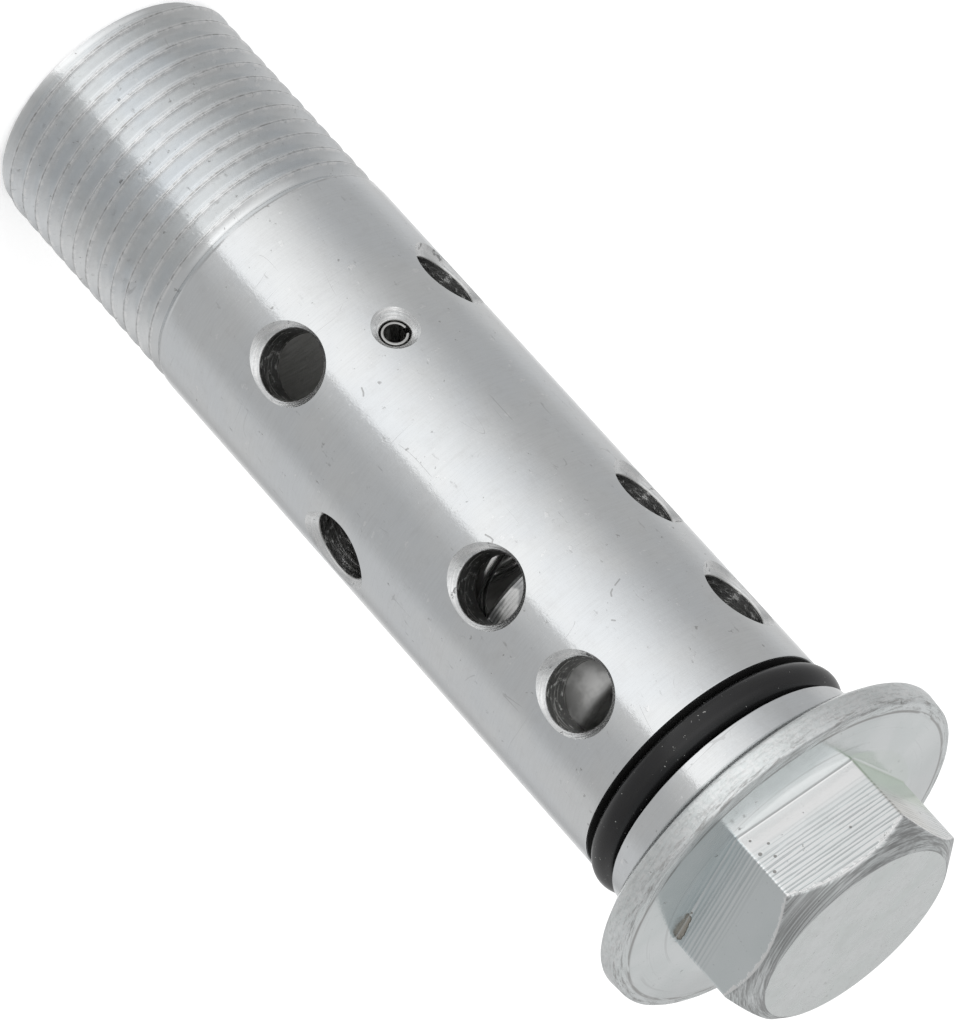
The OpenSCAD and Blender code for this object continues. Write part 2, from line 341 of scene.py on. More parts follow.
class Finish(Wire):
    """A material in the making: places on the piece in millimetres, and the parts of its surface."""

    def __init__(self, name):
        self.material = bpy.data.materials.new(name)
        self.material.use_nodes = True
        super().__init__(self.material.node_tree)
        self.tree.nodes.clear()
        self.place = self.node("ShaderNodeTexCoord", None, 3).vector("SCALE", {3: 1 / MM})
        self.x, self.y, self.z = self.place.split()
        self.radius = self.x.hypot(self.y)
        # angle around the bolt's axis in degrees, from -180 to 180
        self.around = self.y.math("ARCTAN2", self.x) * math.degrees(1)

    def bump(self, height, strength=1.0, depth=0.01):
        """Tilts the surface by a height between 0 and 1 over a depth in millimetres."""
        return self.node("ShaderNodeBump", {"Strength": strength, "Distance": depth * MM, "Height": height})

    def drawn_out(self, across_axis, along_axis):
        """Places scaled by one rate across the bolt's axis and another along it, both per millimetre."""
        return self.place.vector("MULTIPLY", {1: (across_axis, across_axis, along_axis)})

    def circling(self, outward_rate, around_rate, upward_rate):
        """Places for noise that is drawn out around the bolt's axis, by rates per millimetre."""
        x = self.x * around_rate + self.radius * outward_rate
        return self.xyz(x, self.y * around_rate, self.z * upward_rate)

    def off_line(self, start, stop):
        """Millimetres from a line on the shank between two corners, each a turn in degrees and a height."""
        arc = math.radians(bpy.context.scene.filter_bolt.body.shank_d / 2 / MM)
        across, up = (stop[0] - start[0]) * arc, stop[1] - start[1]
        x, z = (self.around - start[0]) * arc, self.z - start[1]
        share = ((x * across + z * up) * (1 / (across**2 + up**2))).most(0.0).least(1.0)
        return (x - share * across).hypot(z - share * up)

    def hole_place(self):
        """Place beside, above and along the nearest port's axis in millimetres, as the mesh carries it."""
        return self.node("ShaderNodeAttribute", None, 1, attribute_name=HOLE_PLACE).split()

    def surface(self, base, rough, normal, **more):
        """Ends the material in a Principled surface, of metal unless more says otherwise."""
        feeds = {"Base Color": tone(base), "Roughness": rough, "Metallic": 1.0, "Normal": normal}
        for name, value in more.items():
            feeds[name.replace("_", " ")] = value
        self.node("ShaderNodeBsdfPrincipled", feeds).end("ShaderNodeOutputMaterial")
        return self.material


# nicks on the shank: half their width in millimetres, then their corners as turns in degrees and heights
NICKS = (
    (0.045, (-103.4, 48.69), (-104.2, 49.11), (-104.3, 49.35), (-103.0, 49.48)),
    (0.055, (-105.7, 34.54), (-105.0, 34.88), (-104.1, 35.07)),
    (0.05, (-131.0, 57.22), (-127.9, 57.4)),
    (0.055, (-126.0, 57.54), (-124.6, 57.68), (-123.9, 57.92)),
    (0.06, (-117.7, 59.32), (-118.5, 59.48)),
)


def turned_finish(colours):
    """Plated turned steel of the shank, the thread and the collar."""
    f = Finish("turned_steel")
    thread = bpy.context.scene.filter_bolt.thread
    pitch, run = thread.pitch / MM, thread.run / MM
    shank = bpy.context.scene.filter_bolt.body.shank_d / 2 / MM
    marks = f.drawn_out(0.5, 9.0).noise(1.0, 3.0, 0.65)
    streaks = f.drawn_out(0.25, 3.0).noise(1.0, 2.0, 0.6)
    broad = f.place.noise(0.16, 3.0)
    fine = f.place.noise(3.0, 4.0, 0.65)
    cloud = f.place.noise(0.8, 5.0, 0.7)
    hairs = f.drawn_out(0.1, 0.55).scratches(0.0035, 3.0).most(f.drawn_out(0.5, 0.12).scratches(0.003, 17.0))
    # dark blotches drawn out along the axis, most of them on one side
    worn_side = f.drawn_out(0.1, 0.1).noise(1.0, 1.0).ramp(0.35, 0.65)
    blotches = f.drawn_out(1.6, 0.7).specks(1.0, 0.65, 0.74) * (0.3 + worn_side * 0.7)
    points = f.place.specks(1.7, 0.67, 0.72)
    flakes = f.drawn_out(0.9, 1.4).specks(1.0, 0.66, 0.7)
    dark = (blotches * 0.4).most(points * 0.5).most(hairs * 0.25)
    for half, *corners in NICKS:
        for start, stop in zip(corners, corners[1:]):
            dark = dark.most(f.off_line(start, stop).ramp(half * 1.5, half * 0.5) * 0.5)
    # along the thread's crests: painted shade as dark dashes in the rolled fold's crease, with painted glints beside
    # them
    share = f.z / pitch - f.around / 360 + (math.degrees(thread.start) / 360 + 0.5)
    broken = f.place.noise(1.3, 5.0, 0.75)
    off_crest = abs(share.math("FRACT") - 0.5) * pitch + (broken - 0.5) * 0.06
    threaded = f.z.ramp(run - 0.6, run - 1.2)
    fold_shade = off_crest.ramp(0.12, 0.03) * (0.15 + broken.ramp(0.42, 0.68) * 0.85) * threaded
    crest_glint = off_crest.ramp(0.05, 0.09) * off_crest.ramp(0.24, 0.15) * broken.ramp(0.55, 0.45) * threaded
    # painted shade in the sealing ring's groove: inside the shank's surface and far beyond the thread
    groove = f.z.ramp(run + 10, run + 11) * f.radius.ramp(shank - 0.07, shank - 0.2)
    base = layered(
        colours.plating,
        (broad.ramp(0.35, 0.65), (0.835, 0.86, 0.88)),
        (streaks.ramp(0.5, 0.8) * 0.16, (0.72, 0.73, 0.74)),
        (marks.ramp(0.35, 0.7) * 0.12, 0.6),
        (cloud.ramp(0.48, 0.72) * 0.14, (0.6, 0.59, 0.58)),
        (flakes * 0.5, 0.98),
        # painted glints beside the thread's crests
        (crest_glint * 0.8, 1.0),
        # real dark marks, and painted shade along the crests' fold
        (dark.most(fold_shade * 0.7), (0.26, 0.25, 0.24)),
        # painted shade in the sealing ring's groove
        (groove, 0.06),
    )
    rough = 0.12 + marks * 0.08 + dark * 0.35 + (broad - 0.5) * 0.1 + crest_glint * 0.1 + groove * 0.5
    normal = f.bump(marks * 0.35 + fine * 1.6 - dark * 1.6 + flakes, 1.0, 0.005)
    return f.surface(base, rough, normal, Anisotropic=0.6, Anisotropic_Rotation=0.25)


def rim_finish(colours):
    """Countersinks: bright cut steel with the cutter's rings, chattered and pitted here and there."""
    f = Finish("rim_steel")
    side, rise, _ = f.hole_place()
    rings = f.xyz(side.hypot(rise) * 9.0, side * 0.5, rise * 0.5).noise(1.0, 2.0, 0.6)
    mottle = f.place.noise(3.5, 3.0, 0.6)
    pits = f.place.specks(1.3, 0.63, 0.7)
    base = layered(
        colours.plating,
        (rings.ramp(0.35, 0.65), 0.98),
        (mottle.ramp(0.45, 0.75) * 0.3, 0.5),
        (pits * 0.7, 0.25),
    )
    return f.surface(base, 0.2 + mottle * 0.15, f.bump(rings + mottle * 0.7 - pits, 0.6, 0.03))


LINE_PITCH = 0.31  # millimetres between the machining lines of the hexagon's sides
# turns of the hexagon's side with painted light, of the side with painted shade and of the tinted one, from its
# corners' turn
SIDE_TURNS = (210, 270, 150)
# marks on the brightest side: along the side, height and radius, all in millimetres
SPOTS = (
    (4.24, 77.24, 0.1), (4.32, 78.4, 0.15), (3.4, 78.1, 0.11),
    (4.38, 79.97, 0.13), (3.64, 79.1, 0.12), (-1.6, 80.4, 0.1),
)
# the scar on the shaded side: along the side, height, half its length and half its width
SCAR = (3.4, 76.65, 1.25, 0.36)


def headed_finish(colours):
    """Plated steel of the flange and the hexagon, which were pressed and then machined."""
    f = Finish("headed_steel")
    sizes = bpy.context.scene.filter_bolt.body
    # millimetres above the hexagon's foot and the flange's rim, and outside the foot's ring and the rim
    up, over = f.z - sizes.foot / MM, f.z - sizes.rim / MM
    off_foot, off_rim = f.radius - sizes.foot_d / 2 / MM, f.radius - sizes.rim_d / 2 / MM
    broad = f.place.noise(0.3, 3.0)
    fine = f.place.noise(6.0, 3.0, 0.6)
    # millimetres below the chamfer's cone, measured along the axis
    below = (head_end / MM - f.z) - (f.radius - sizes.head_d / 2 / MM) * math.tan(sizes.chamfer)
    ragged = below + (f.place.noise(1.6, 3.0, 0.7) - 0.5) * 0.9
    hexagon = off_foot.ramp(0.09, -0.11) * up.ramp(-0.05, 0.15)
    chamfer = abs(below).ramp(0.16, 0.06) * hexagon
    side = hexagon * (1 - chamfer)
    burr = ragged.ramp(0.36, 0.2) * side
    flat = sizes.hex_af / 2 / MM
    faces = []
    for turn in SIDE_TURNS:
        heading = sizes.hex_turn + math.radians(turn)
        outward_by = f.x * math.cos(heading) + f.y * math.sin(heading)
        along = f.y * math.cos(heading) - f.x * math.sin(heading)
        faces.append((outward_by.ramp(flat - 0.16, flat - 0.05) * side, along))
    (bright, bright_along), (shaded, shaded_along), (tinted, tinted_along) = faces
    # machining lines across the faces, strongest next to the chamfer on one side and next to the foot on another
    uneven = f.drawn_out(0.08, 1.6).noise(1.0, 3.0, 0.6)
    wave = (f.z * (TURN / LINE_PITCH) + uneven * 9.0).math("SINE")
    lines = wave * 0.16 + 0.5 + (f.drawn_out(0.25, 6.0).noise(1.0, 2.0, 0.6) - 0.5) * 0.5
    patchy = 0.3 + f.drawn_out(0.3, 0.3).noise(1.0, 1.0).ramp(0.35, 0.55) * 0.7
    lined = bright * up.ramp(0.83, 3.03) + shaded * up.ramp(3.63, 2.03) * 0.5
    lined = lined.most((side - bright - shaded).most(0.0) * up.ramp(0.63, 3.63) * patchy * 0.7)
    furrow = lines.ramp(0.52, 0.66) * lined
    ridge = lines.ramp(0.48, 0.38) * lined
    spot = bright * 0
    for across, height, radius in SPOTS:
        spot = spot.most((bright_along - across).hypot(f.z - height).ramp(radius * 1.15, radius * 0.7))
    spot = spot * bright
    dx = (shaded_along - SCAR[0]) / SCAR[2]
    dz = (f.z - SCAR[1] - dx * 0.12) / SCAR[3]
    edge = dx.hypot(dz) + (f.place.noise(1.8, 3.0, 0.6) - 0.5) * 0.9
    scar = edge.ramp(1.05, 0.9) * shaded
    scar_rim = edge.ramp(0.7, 0.95) * scar
    # the flange's worn rim, its turned top and its satin side
    rim = off_rim.ramp(-1.23, -0.23) * (0.35 + 0.65 * over.ramp(-0.92, -0.22))
    outside = off_rim.ramp(-0.13, -0.01)
    top = off_foot.ramp(-0.06, 0.14) * (1 - outside) * over.ramp(-0.52, -0.22)
    circling = f.circling(5.0, 0.7, 4.0)
    worn = rim * circling.noise(1.0, 5.0, 0.75).ramp(0.46, 0.64)
    edge_line = off_rim.ramp(-0.98, -0.85) * off_rim.ramp(-0.63, -0.77) * top * circling.noise(0.6).ramp(0.36, 0.5)
    grain = f.circling(3.0, 1.6, 6.0).noise(1.0, 4.0, 0.8)
    pitted = f.place.noise(3.2, 4.0, 0.7)
    rings = f.circling(3.4, 0.1, 0.1).noise(1.0, 3.0, 0.6)
    streaks = f.circling(8.0, 0.5, 0.4).noise(1.0, 4.0, 0.75)
    specks = f.place.specks(1.7, 0.68, 0.73)
    pores = f.place.specks(5.0, 0.66, 0.72)
    base = layered(
        colours.headed,
        (broad.ramp(0.35, 0.65), (0.85, 0.89, 0.89)),
        # painted light on the brightest side towards its foot, and painted shade on the shaded side, most towards its
        # foot
        (bright * up.ramp(2.03, 1.03) * 0.9, 1.0),
        (shaded * (0.35 + up.ramp(3.43, -0.07) * 0.65), (0.7, 0.77, 0.79)),
        (tinted * up.ramp(3.93, 1.93), (0.72, 0.82, 0.7)),
        (tinted * up.ramp(1.93, 3.93) * tinted_along.ramp(-3.0, 3.0) * 0.5, (0.9, 0.85, 0.74)),
        (ridge * 0.7, 1.0),
        (furrow * 0.55, (0.45, 0.47, 0.48)),
        (chamfer * streaks.ramp(0.34, 0.62) * 0.8, 0.3),
        (chamfer * streaks.ramp(0.42, 0.3), 0.85),
        (top * rings.ramp(0.55, 0.7) * 0.3, 0.5),
        (outside * grain.ramp(0.5, 0.68) * 0.4, (0.5, 0.49, 0.48)),
        (outside * pitted.ramp(0.54, 0.42) * 0.5, 1.0),
        ((worn * 0.62).most(edge_line * 0.7), (0.32, 0.31, 0.3)),
        (burr, 1.0),
        ((specks * 0.5).most(pores * 0.3).most(spot * 0.8), (0.25, 0.24, 0.23)),
        (scar, (0.5, 0.47, 0.42)),
        (scar_rim * 0.8, (0.16, 0.14, 0.12)),
    )
    rough = 0.14 + (broad - 0.5) * 0.1 + chamfer * 0.22 + rim * 0.12 + outside * 0.14
    rough = rough + worn * 0.15 + specks * 0.2 + scar * 0.3
    relief = fine * 0.25 - furrow * 1.2 + streaks * chamfer * 2.0 + grain * rim * 1.3 + pitted * outside * 1.5
    relief = relief + rings * top * 0.35 - specks + burr - scar * 2 - spot
    return f.surface(base, rough, f.bump(relief, 0.6, 0.03))


def end_finish(colours):
    """Satin flat end of the head."""
    f = Finish("end_steel")
    fine = f.place.noise(8.0, 3.0, 0.65)
    broad = f.place.noise(0.35, 3.0)
    cloud = f.place.noise(1.2, 4.0, 0.65)
    hairs = f.drawn_out(0.3, 0.3).scratches(0.003, 5.0)
    dark = (f.place.specks(3.2, 0.65, 0.7) * 0.4).most(hairs * 0.3)
    edge = (f.radius - bpy.context.scene.filter_bolt.body.head_d / 2 / MM).ramp(-1.54, -0.04)
    base = layered(
        colours.end,
        (broad.ramp(0.3, 0.7), (0.86, 0.9, 0.89)),
        (cloud.ramp(0.4, 0.7) * 0.25, (0.7, 0.71, 0.7)),
        (dark, (0.4, 0.4, 0.38)),
    )
    normal = f.bump(fine + broad * 2 - dark + edge * broad, 0.5, 0.012)
    return f.surface(base, 0.27 + (broad - 0.5) * 0.15, normal)


def drilled_finish(colours):
    """Oily steel of the bore and the walls of the ports, with the drill's marks; painted shade darkens the ports'
    walls.
    """
    f = Finish("drilled_steel")
    side, rise, out = f.hole_place()
    in_port = out.ramp(0.5, 1.0)
    rings = f.xyz(out * 5.0, side * 0.25, rise * 0.25).noise(1.0, 3.0, 0.65)
    torn = f.xyz(out * 2.2, side * 1.6, rise * 1.6).noise(1.0, 5.0, 0.75)
    bored = f.drawn_out(0.3, 3.0).noise(1.0, 3.0, 0.6)
    light = (rings.ramp(0.56, 0.66) * 0.8).most(torn.ramp(0.55, 0.63)) * in_port
    base = layered(
        colours.bore,
        (bored.ramp(0.4, 0.7) * 0.3, (0.25, 0.25, 0.24)),
        # painted shade on the ports' walls
        (in_port * 0.8, 0.1),
        (light, (0.95, 0.95, 0.94)),
    )
    normal = f.bump(bored * 0.5 + (rings + torn * 2) * in_port, 0.8, 0.05)
    return f.surface(base, 0.4 - light * 0.1, normal)


def rubber_finish(colours):
    """Black rubber with a soft sheen and a little dust."""
    f = Finish("black_rubber")
    dust = f.place.noise(3.2, 2.0, 0.6).ramp(0.7, 0.75)
    film = f.circling(1.0, 0.3, 2.0).noise(1.0, 4.0, 0.7)
    fine = f.place.noise(6.0, 3.0, 0.6)
    base = layered(
        colours.rubber, (film.ramp(0.45, 0.75) * 0.5, (0.02, 0.02, 0.019)), (dust * 0.8, (0.5, 0.5, 0.48))
    )
    rough = 0.22 + (film - 0.5) * 0.3 + dust * 0.3
    return f.surface(base, rough, f.bump(fine + dust, 0.4, 0.01), Metallic=0.0, Specular_IOR_Level=0.4)


def drawn_finish(name, value, rate, rough, strength):
    """Rolled strip or drawn wire with a fine grain."""
    f = Finish(name)
    fine = f.place.noise(rate, 3.0, 0.6)
    return f.surface(value, rough + fine * 0.1, f.bump(fine, strength, 0.01))


# the tool's ridges around the valve's open end, in millimetres: from one to the next, their depth and how far up
RIDGE_PITCH = 0.28
RIDGE_DEPTH = 0.02
RIDGE_TOP = 5.6
RIDGE_STEPS = 6  # rows of the mesh in each ridge
VALVE_COLUMNS = 144


def valve_finish(colours):
    """Turned steel of the valve: ridged and patchy low down, dull and smooth towards its face, with a painted
    highlight there in places.
    """
    f = Finish("valve_steel")
    marks = f.drawn_out(0.3, 7.0).noise(1.0, 3.0, 0.7)
    broad = f.place.noise(0.5, 3.0, 0.6)
    mild = broad.ramp(0.4, 0.65)
    patches = f.place.noise(0.55).ramp(0.44, 0.54)
    ridge_end = valve_box[0][2] / MM + RIDGE_TOP
    dull = f.z.ramp(ridge_end, ridge_end + 0.5)
    base = layered(
        colours.valve,
        (mild, (0.85, 0.85, 0.84)),
        ((1 - dull) * patches * 0.8, (1.0, 1.0, 0.99)),
        ((1 - dull) * (1 - patches) * 0.6, (0.3, 0.31, 0.32)),
        (dull * 0.4, (0.5, 0.5, 0.49)),
        # painted highlight in blobs on the dull part
        (dull * mild * 0.5, (1.0, 1.0, 0.99)),
    )
    return f.surface(base, 0.24 + marks * 0.1 + dull * 0.3, f.bump(marks + broad * 6, 0.5, 0.012))


def add_object(name, data):
    """Puts an object into the scene."""
    made = bpy.data.objects.new(name, data)
    bpy.context.scene.collection.objects.link(made)
    return made


def place_mesh(name, mesh, body, replaced, materials):
    """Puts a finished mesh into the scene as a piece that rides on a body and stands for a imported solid."""
    mesh.name = name
    piece = add_object(name, mesh)
    for index, material in enumerate(materials):
        if index < len(mesh.materials):
            mesh.materials[index] = material
        else:
            mesh.materials.append(material)
    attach(piece, body)
    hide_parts(replaced)
    return piece


def finished_mesh(scratch):
    """The mesh of an object after its modifiers; the object itself goes."""
    bpy.context.view_layer.update()
    evaluated = scratch.evaluated_get(bpy.context.evaluated_depsgraph_get())
    mesh = bpy.data.meshes.new_from_object(evaluated)
    bpy.data.objects.remove(scratch)
    return mesh


def modified_mesh(mesh, kind, **settings):
    """A mesh after one modifier."""
    scratch = add_object("scratch", mesh)
    modifier = scratch.modifiers.new("scratch", kind)
    for name, value in settings.items():
        setattr(modifier, name, value)
    return finished_mesh(scratch)


def outward(mesh):
    """Turns a closed mesh the right way out."""
    work = bmesh.new()
    work.from_mesh(mesh)
    if work.calc_volume(signed=True) < 0:
        mesh.flip_normals()
    work.free()
    return mesh


def smooth_with_edges(mesh, edge_degrees):
    """Smooth shading that stays sharp where two faces meet at more than an angle."""
    mesh.shade_smooth()
    mesh.set_sharp_from_angle(angle=math.radians(edge_degrees))


def rounded_path(path, steps=3):
    """Rows along a path of (radius, height, cut) points, with each corner rounded over the length of its cut."""
    spots = [np.stack(np.broadcast_arrays(r, z), axis=-1).astype(float) for r, z, cut in path]
    rows = []
    for index, (r, z, cut) in enumerate(path):
        here = spots[index]
        if not np.any(cut) or index in (0, len(path) - 1):
            rows.append(here)
            continue
        arms = []
        for other in (spots[index - 1], spots[index + 1]):
            arm = other - here
            arms.append(here + arm / np.linalg.norm(arm, axis=-1, keepdims=True) * np.asarray(cut)[..., None])
        for u in np.arange(steps + 1) / steps:
            rows.append((1 - u) ** 2 * arms[0] + 2 * u * (1 - u) * here + u * u * arms[1])
    return rows


def ring_mesh(name, turns, rows):
    """A closed mesh of rings around Z: each row is (radius, height), the same or different in each column."""
    count = len(turns)
    radius, height = np.stack([np.broadcast_to(row, (count, 2)) for row in rows], axis=1).transpose(2, 0, 1)
    places = np.stack([radius * np.cos(turns)[:, None], radius * np.sin(turns)[:, None], height], axis=-1)
    index = np.arange(count * len(rows)).reshape(count, len(rows))
    quads = np.stack([index[:-1, :-1], index[1:, :-1], index[1:, 1:], index[:-1, 1:]], axis=-1).reshape(-1, 4)
    mesh = bpy.data.meshes.new(name)
    mesh.from_pydata(places.reshape(-1, 3).tolist(), [], quads.tolist())
    # points that coincide are merged, and what that leaves without area goes
    work = bmesh.new()
    work.from_mesh(mesh)
    bmesh.ops.remove_doubles(work, verts=work.verts, dist=WELD)
    bmesh.ops.dissolve_degenerate(work, edges=work.edges, dist=WELD / 4)
    work.to_mesh(mesh)
    work.free()
    return outward(mesh)


WEAR = 0.35  # share by which the rounding of a worn edge comes and goes around the bolt
WEAR_WAVES = (1, 3, 7, 16, 29)
WEAR_SEED = 4


def edge_wear(turns):
    """How much wider or narrower the edges are rounded around the bolt, as factors near 1."""
    drawn = np.random.default_rng(WEAR_SEED)
    total = np.zeros_like(turns)
    for wave in WEAR_WAVES:
        total += np.sin(wave * turns + drawn.uniform(0, TURN)) * drawn.uniform(0.4, 1)
    return 1 + WEAR * (total / len(WEAR_WAVES))


# columns of the body's mesh: from a corner of the hexagon to CORNER_SPREAD degrees beside it, and from there to
# the middle of the flat, wider and wider apart by the power FLAT_GRADING
CORNER_COLUMNS = 3
CORNER_SPREAD = 0.95
FLAT_COLUMNS = 16
FLAT_GRADING = 1.3


def body_turns(body):
    """Angles of the body's columns, in order around the axis and closest at the hexagon's corners."""
    near = np.linspace(0, CORNER_SPREAD, CORNER_COLUMNS + 1)
    far = CORNER_SPREAD + (30 - CORNER_SPREAD) * (np.arange(1, FLAT_COLUMNS + 1) / FLAT_COLUMNS) ** FLAT_GRADING
    half = np.concatenate([near, far])
    sector = np.concatenate([-half[:0:-1], half[:-1]])
    turns = np.concatenate([math.degrees(body.hex_turn) + 60 * side + sector for side in range(6)])
    return np.radians(np.append(turns, turns[0] + 360))


def hexagon_radius(turns, body):
    """Distance of the hexagon's side from the axis in each column, with its corners rounded."""
    flat = body.hex_af / 2
    sixth, half_side = math.radians(60), math.radians(30)
    off_corner = np.abs((turns - body.hex_turn + half_side) % sixth - half_side)
    straight = flat / np.cos(half_side - off_corner)
    middle = (flat - body.corner) / math.cos(half_side)
    inside = body.corner**2 - (middle * np.sin(off_corner)) ** 2
    arc = middle * np.cos(off_corner) + np.sqrt(np.maximum(inside, 0))
    reach = math.atan(body.corner * 0.5 / (middle + body.corner * math.cos(half_side)))
    return np.where(off_corner < reach, arc, straight)


# shares of a turn at which the thread has a row: its fold and crest, then its root, then the crest's other half
THREAD_ROWS = (0.0, 0.03, 0.056, 0.08, 0.395, 0.445, 0.5, 0.555, 0.605, 0.92, 0.944, 0.97)
FLANK = math.tan(math.radians(30))
FOLD_HALF = 0.03  # half the fold's width, as a share of the pitch
CREST_SOFT = 0.05 * MM  # rounding of a crest's edges
END_SOFT = 0.03 * MM  # rounding of the edge around the lead-in chamfer
LEAD_IN = 1.5 * MM  # height up to which the lead-in chamfer can cut the thread
THREAD_STOP = 0.3 * MM  # plain length between the thread's last trace and the shank


def thread_radius(turns, height, thread, body):
    """Radius of the threaded end at each place."""
    share = height / thread.pitch - turns / TURN + thread.start / TURN
    off_crest = np.abs(share - np.round(share)) * thread.pitch
    down = (off_crest - thread.crest_half) / FLANK
    soft = np.where(down > -CREST_SOFT, (down + CREST_SOFT) ** 2 / (4 * CREST_SOFT), 0)
    down = np.where(down < CREST_SOFT, soft, down)
    over = thread.depth - down
    down = thread.depth - (np.sqrt(over**2 + thread.root**2) + over) / 2
    down = down + thread.fold * np.clip(1 - off_crest / (FOLD_HALF * thread.pitch), 0, 1)
    fade = np.clip((thread.run - THREAD_STOP - height) / (1.5 * thread.runout), 0, 1)
    fade = fade * fade * (3 - 2 * fade)
    grow = np.clip((height - thread.run + thread.runout) / thread.runout, 0, 1)
    radius = thread.crest_d / 2 + (body.shank_d - thread.crest_d) / 2 * grow - down * fade
    gap = thread.end_d / 2 + height - radius
    return radius + (gap - np.sqrt(gap**2 + END_SOFT**2)) / 2 * (height < LEAD_IN)


WALL_SHARES = (0.2, 0.4, 0.6, 0.8)  # shares of the bore's and of the shank's length at which each has a row


def body_rows(turns, thread, body):
    """Rows of the whole body, from the blind end of the bore round to the middle of the head."""
    bore, shank, groove, collar = (across / 2 for across in (body.bore_d, body.shank_d, body.groove_d, body.collar_d))
    rows = rounded_path([
        (0, body.bore_end + bore / math.tan(body.drill_angle / 2), 0),
        (bore, body.bore_end, 0),
        *[(bore, share * body.bore_end, 0) for share in reversed(WALL_SHARES)],
        (bore, body.bore_chamfer, 0),
        (bore + body.bore_chamfer, 0, 0),
        (thread.end_d / 2, 0, 0),
    ])
    for turn in range(-2, math.ceil(thread.run / thread.pitch) + 2):
        for share in THREAD_ROWS:
            height = thread.pitch * (turn + share + (turns - thread.start) / TURN)
            height = np.clip(height, 0, thread.run)
            rows.append(np.stack([thread_radius(turns, height, thread, body), height], axis=-1))
    worn = edge_wear(turns)
    flat = hexagon_radius(turns, body)
    crease = head_end - (flat - body.head_d / 2) * math.tan(body.chamfer)
    return rows + rounded_path([
        (shank, thread.run, 0),
        *[(shank, thread.run + share * (body.shank_end - thread.run), 0) for share in WALL_SHARES],
        (shank, body.shank_end, 0.09 * MM * worn),
        (groove, body.shank_end, 0.2 * MM),
        (groove, body.groove_end, 0.2 * MM),
        (collar, body.groove_end, 0.1 * MM * worn),
        (collar, body.face, 0.06 * MM),
        (body.face_d / 2, body.face, 0.25 * MM),
        (body.flange_d / 2, body.band, 0.3 * MM),
        (body.rim_d / 2, body.rim, 0.3 * MM * worn),
        (body.foot_d / 2, body.foot, 0.25 * MM),
        (flat, body.foot, 0.2 * MM),
        (flat, crease, 0.14 * MM),
        (body.head_d / 2, head_end, 0.2 * MM),
        (0, head_end, 0),
    ])


CUTTER_DEPTH = 1.6 * MM  # how far the cutters reach into the bore


def hole_rows(ports):
    """Height, first turn, count, hole and rim diameter of each row of holes, and the columns of its cutters."""
    port, pin = (ports.port_d, ports.port_rim_d, 96), (ports.pin_d, ports.pin_rim_d, 64)
    return (
        (ports.top, ports.top_turn, 4, *port),
        (ports.middle, 0.0, 4, *port),
        (ports.cross, ports.cross_turn, 2, *port),
        (ports.lower, 0.0, 4, *port),
        (ports.pin, ports.pin_turn, 2, *pin),
    )


def hole_cutter(hole_d, rim_d, columns, body):
    """A solid along X that cuts one countersunk hole through the wall."""
    depth = (rim_d - hole_d) / 2
    start, out = body.bore_d / 2 - CUTTER_DEPTH, body.shank_d / 2
    mesh = ring_mesh("cutter", np.linspace(0, TURN, columns + 1), rounded_path([
        (0, start, 0),
        (hole_d / 2, start, 0),
        (hole_d / 2, out - depth, 0.12 * MM),
        (rim_d / 2 + depth, out + depth, 0),
        (0, out + depth, 0),
    ]))
    mesh.transform(Matrix.Rotation(math.pi / 2, 4, "Y"))
    return mesh


class Tree(Wire):
    """A geometry tree in the making, with wires from its named inputs."""

    KINDS = {type(None): "NodeSocketObject", float: "NodeSocketFloat", int: "NodeSocketInt"}

    def __init__(self, name, defaults):
        super().__init__(bpy.data.node_groups.new(name, "GeometryNodeTree"))
        sockets = self.tree.interface
        sockets.new_socket("Geometry", in_out="INPUT", socket_type="NodeSocketGeometry")
        for label, value in defaults.items():
            socket = sockets.new_socket(label, in_out="INPUT", socket_type=self.KINDS[type(value)])
            if value is not None:
                socket.default_value = value
        sockets.new_socket("Geometry", in_out="OUTPUT", socket_type="NodeSocketGeometry")
        self.inputs = self.node("NodeGroupInput").outputs("Geometry", *defaults)

    def swept(self, path, profile, closed=False):
        """A mesh along a path, and closed at its ends where asked."""
        return self.node("GeometryNodeCurveToMesh", {0: path, 1: profile, "Fill Caps": closed})

    def circle(self, steps, radius):
        return self.node("GeometryNodeCurvePrimitiveCircle", {"Resolution": steps, "Radius": radius})

    def finish(self, geometry, material=None):
        """Ends the tree in Realize Instances and Set Material."""
        solid = self.node("GeometryNodeRealizeInstances", {0: geometry})
        self.node("GeometryNodeSetMaterial", {0: solid, "Material": material}).end("NodeGroupOutput")
        return self.tree


def grown_mesh(name, tree, *uses):
    """The mesh that a geometry tree grows, run once for each set of values of its named inputs."""
    scratch = add_object(name, bpy.data.meshes.new(name))
    for values in uses:
        modifier = scratch.modifiers.new(name, "NODES")
        modifier.node_group = tree
        for item in tree.interface.items_tree:
            if item.in_out == "INPUT" and item.name in values:
                modifier[item.identifier] = values[item.name]
    return outward(finished_mesh(scratch))


def hole_row_tree():
    """Geometry nodes that set one cutter into a row around the axis and add it to what came in."""
    t = Tree("hole_row", {"Cutter": None, "Height": 0.05, "Turn": 0.0, "Count": 4})
    held, cutter, height, turn, count = t.inputs
    points = t.node("GeometryNodePoints", {"Count": count, "Position": t.xyz(0.0, 0.0, height)})
    bearing = t.node("GeometryNodeInputIndex") * TURN / count + turn
    shape = t.node("GeometryNodeObjectInfo", {0: cutter}, 4)
    feeds = {"Points": points, "Instance": shape, "Rotation": t.xyz(0.0, 0.0, bearing)}
    row = t.node("GeometryNodeRealizeInstances", {0: t.node("GeometryNodeInstanceOnPoints", feeds)})
    joined = t.node("GeometryNodeJoinGeometry", {0: held})
    t.tree.links.new(row.socket, joined.socket.node.inputs[0])
    return t.finish(joined)


